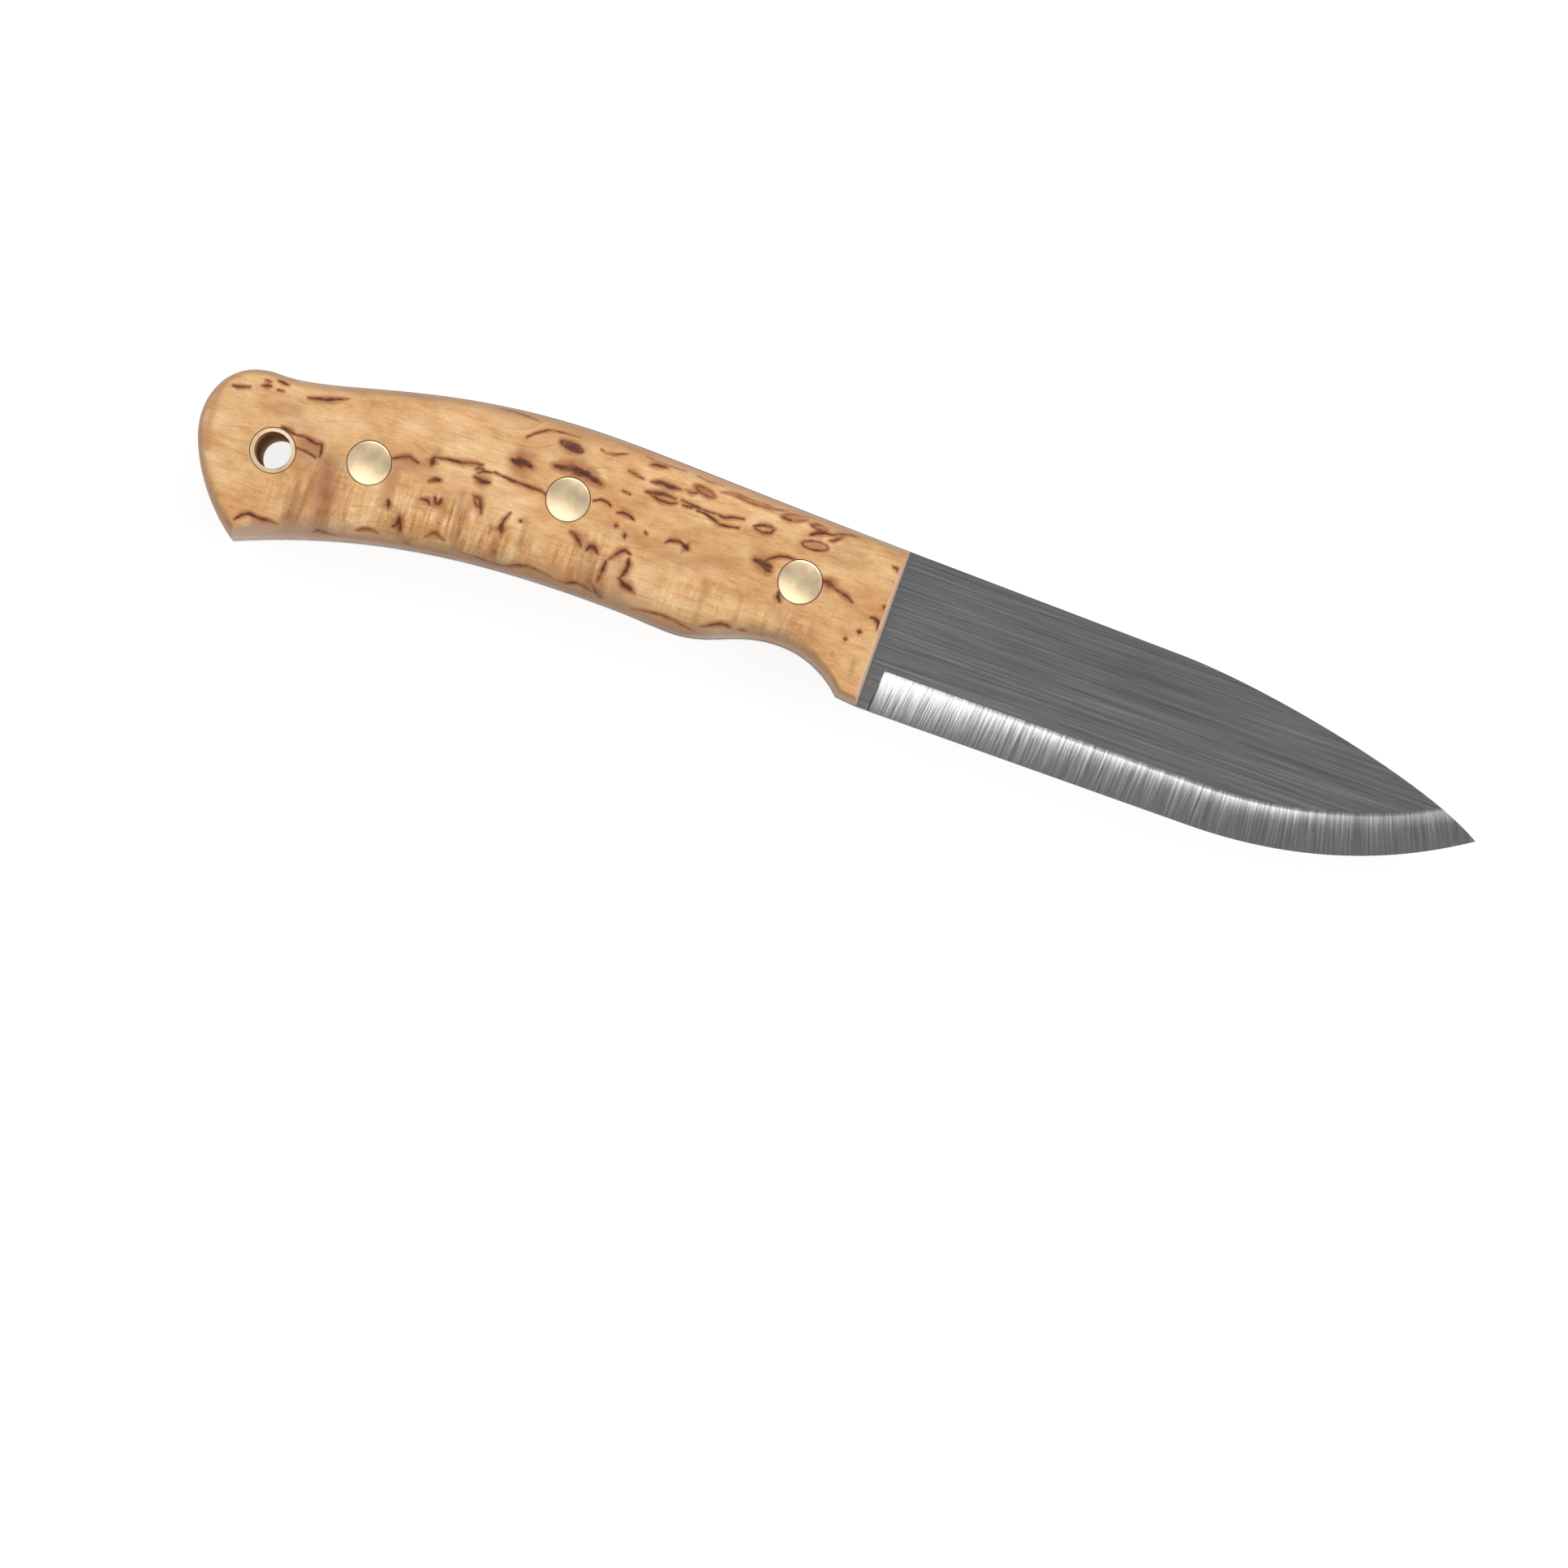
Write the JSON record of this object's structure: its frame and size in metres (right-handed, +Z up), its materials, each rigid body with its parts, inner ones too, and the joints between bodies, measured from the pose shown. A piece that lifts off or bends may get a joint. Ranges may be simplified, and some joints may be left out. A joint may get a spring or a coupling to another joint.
{
  "type": "whittling knife",
  "caption": "Fixed-blade carving knife with a full tang, a single-bevel satin blade, curly birch scales, brass rivets and a brass lanyard tube.",
  "frame": {"origin": "under the middle of the knife's box, on the surface that its lower scale lies on", "axes": "+X from the butt to the tip, parallel to the straight cutting edge; +Y towards the spine; +Z up through the handle's thickness, with the knife lying on its side"},
  "size_m": [0.213, 0.0358, 0.02],
  "materials": {
    "satin_steel": "satin, scratched lengthwise on the flats and crosswise on the bevels",
    "curly_birch": "oiled, satin",
    "brass": "fine brushed"
  },
  "bodies": {
    "root": {"blade": "satin_steel", "right_scale": "curly_birch", "left_scale": "curly_birch", "front_rivet_nut": "brass", "front_rivet_screw": "brass", "middle_rivet_nut": "brass", "middle_rivet_screw": "brass", "rear_rivet_nut": "brass", "rear_rivet_screw": "brass", "lanyard_tube": "brass"}
  },
  "joints": []
}
